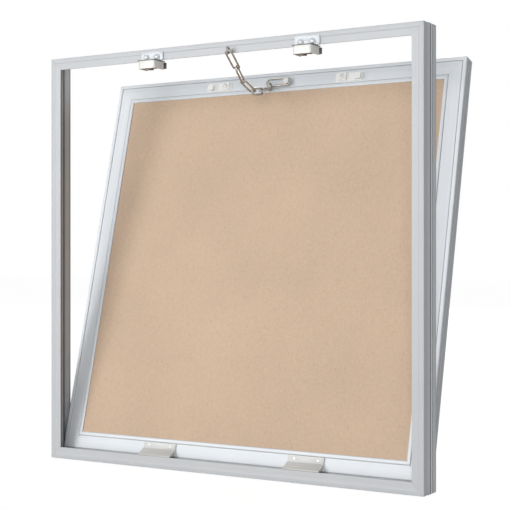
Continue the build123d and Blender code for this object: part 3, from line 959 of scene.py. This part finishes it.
# Softboxes in rows of (name, place and size in metres, power in watts), all aimed at the panel's middle.
SOFTBOXES = (
    ("key_softbox", (-1.2, -2.4, 0.5), 1.2, 30),
    ("fill_softbox", (1.6, -4.4, -0.2), 2.0, 120),
    ("room_softbox", (-0.7, 3.4, 0.9), 2.0, 85),
)
CAMERA_PLACE = (0.580325, -0.971313, 0.000827)
CAMERA_HEADING = 0.5233253621
CAMERA_LENS = 84.846
CAMERA_SHIFT = 0.00524
FLOOR_HALF = 9.0
FLOOR_GAP = 0.0002
# Share of the floor's white that hides its paint, and its strength: what is left keeps the soft shadow.
FLOOR_WHITE_SHARE = 0.9
FLOOR_WHITE = 1.06
SKY_STRENGTH = 0.3


def seen_as_background(tree):
    """1 where a ray from the camera, off gloss or through glass arrives, else 0."""
    rays = add(tree, "ShaderNodeLightPath").outputs
    either = add(tree, "ShaderNodeMath", {0: rays["Is Camera Ray"], 1: rays["Is Glossy Ray"]},
                 operation="MAXIMUM")
    return add(tree, "ShaderNodeMath", {0: either.outputs[0], 1: rays["Is Transmission Ray"]},
               operation="MAXIMUM").outputs[0]


class PANEL_OT_stage(bpy.types.Operator):
    """Pale floor, soft studio light and the camera"""

    bl_idname = "access_panel.stage"
    bl_label = "Stage"

    def execute(self, context):
        scene = context.scene
        mesh = bpy.data.meshes.new("studio_floor")
        corner = FLOOR_HALF * np.array([[-1, -1], [1, -1], [1, 1], [-1, 1]], float)
        points = np.column_stack([corner, np.full(4, cad_box[0][2] - FLOOR_GAP)])
        mesh.from_pydata(points.tolist(), [], [(0, 1, 2, 3)])
        floor = bpy.data.objects.new("studio_floor", mesh)
        scene.collection.objects.link(floor)
        mesh.materials.append(self.floor_paint())
        scene.world = self.sky()
        for name, place, size, power in SOFTBOXES:
            data = bpy.data.lights.new(name, "AREA")
            data.size = size
            data.energy = power
            lamp = bpy.data.objects.new(name, data)
            lamp.location = place
            lamp.rotation_euler = (-Vector(place)).to_track_quat("-Z", "Y").to_euler()
            scene.collection.objects.link(lamp)
        data = bpy.data.cameras.new("photo_camera")
        data.lens = CAMERA_LENS
        data.sensor_width = 36.0
        data.shift_y = CAMERA_SHIFT
        camera = bpy.data.objects.new("photo_camera", data)
        camera.location = CAMERA_PLACE
        camera.rotation_euler = (math.pi / 2, 0, CAMERA_HEADING)
        scene.collection.objects.link(camera)
        scene.camera = camera
        scene.view_settings.view_transform = "Standard"
        return {"FINISHED"}

    @staticmethod
    def floor_paint():
        """Painted pale floor that shows white to the camera and keeps a soft shadow."""
        material, tree, shader = surface("painted_floor", 0.9)
        if not tree:
            return material
        grain = add(tree, "ShaderNodeTexNoise", {"Vector": place_of(tree, False), "Scale": 40.0})
        tinted(tree, shader, linear("#f4f4f4"), grain.outputs["Fac"], 0.99, 1.0)
        share = add(tree, "ShaderNodeMath", {0: seen_as_background(tree), 1: FLOOR_WHITE_SHARE},
                    operation="MULTIPLY")
        white = add(tree, "ShaderNodeEmission", {"Color": (1, 1, 1, 1), "Strength": FLOOR_WHITE})
        mix = add(tree, "ShaderNodeMixShader",
                  {0: share.outputs[0], 1: shader.outputs[0], 2: white.outputs[0]})
        tree.links.new(mix.outputs[0], tree.nodes["Material Output"].inputs["Surface"])
        return material

    @staticmethod
    def sky():
        """Even pale surroundings: white where the camera, gloss or glass sees them, softer as light."""
        world = bpy.data.worlds.new("studio_surroundings")
        world.use_nodes = True
        tree = world.node_tree
        light = tree.nodes["Background"]
        light.inputs["Color"].default_value = (0.93, 0.95, 1.0, 1)
        light.inputs["Strength"].default_value = SKY_STRENGTH
        white = add(tree, "ShaderNodeBackground", {"Color": (1, 1, 1, 1), "Strength": 1.0})
        mix = add(tree, "ShaderNodeMixShader",
                  {0: seen_as_background(tree), 1: light.outputs[0], 2: white.outputs[0]})
        tree.links.new(mix.outputs[0], tree.nodes["World Output"].inputs["Surface"])
        return world


OPERATORS = (
    PANEL_OT_frame_rails, PANEL_OT_gasket, PANEL_OT_leaf_rails, PANEL_OT_board, PANEL_OT_hinges,
    PANEL_OT_chain, PANEL_OT_screws, PANEL_OT_keepers, PANEL_OT_latches, PANEL_OT_stage,
)


class PANEL_PT_access_panel(bpy.types.Panel):
    """Lists the operators that make the access panel"""

    bl_idname = "PANEL_PT_access_panel"
    bl_label = "Access panel"
    bl_space_type = "VIEW_3D"
    bl_region_type = "UI"
    bl_category = "Access panel"

    def draw(self, context):
        for operator in OPERATORS:
            self.layout.operator(operator.bl_idname)


CLASSES = (PanelSizes, PanelColours) + OPERATORS + (PANEL_PT_access_panel,)


def register():
    """Registers the classes and hangs the two groups on the scene."""
    for each in CLASSES:
        bpy.utils.register_class(each)
    bpy.types.Scene.panel_sizes = bpy.props.PointerProperty(type=PanelSizes)
    bpy.types.Scene.panel_colours = bpy.props.PointerProperty(type=PanelColours)


def unregister():
    """Takes the groups and classes away again."""
    del bpy.types.Scene.panel_colours
    del bpy.types.Scene.panel_sizes
    for each in reversed(CLASSES):
        bpy.utils.unregister_class(each)


def main():
    """Makes every piece."""
    register()
    for operator in OPERATORS:
        group, name = operator.bl_idname.split(".")
        getattr(getattr(bpy.ops, group), name)()


if __name__ == "__main__":
    main()
